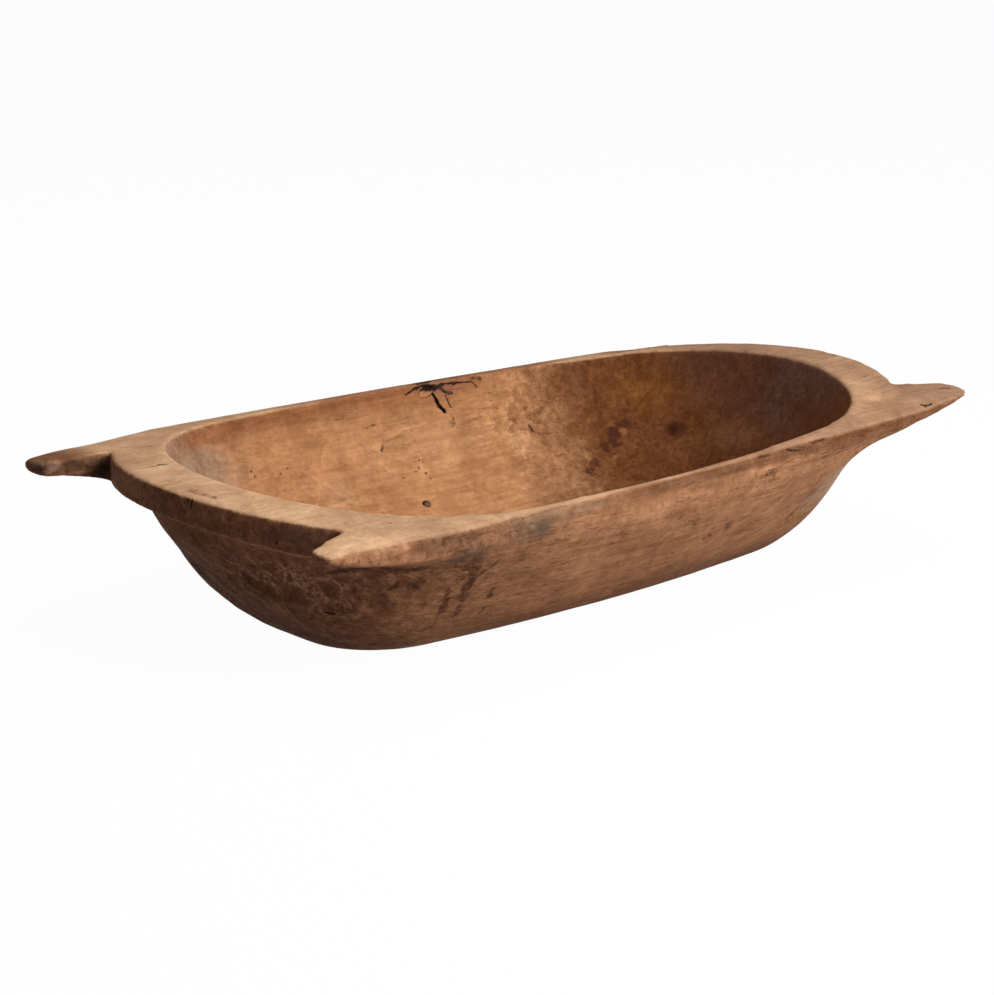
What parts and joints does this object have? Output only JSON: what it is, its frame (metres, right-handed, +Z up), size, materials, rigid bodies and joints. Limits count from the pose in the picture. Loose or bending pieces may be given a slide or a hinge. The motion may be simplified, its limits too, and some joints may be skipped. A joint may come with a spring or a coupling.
{
  "type": "wooden dough trough",
  "caption": "Long oval trough hewn from one half log, flat underneath, with a broad arched rim and horn handles at its corners.",
  "frame": {"origin": "on the ground under the middle of the hollow", "axes": "+X along the trough, +Z up; -Y is the long side that the picture shows"},
  "size_m": [1.0401, 0.5456, 0.2],
  "materials": {
    "wood": "bare, worn, unvarnished",
    "knot": "dark dead knot wood"
  },
  "bodies": {
    "root": {"trough_body": "wood", "wall_knot": "knot", "pin_knot": "knot"}
  },
  "joints": []
}
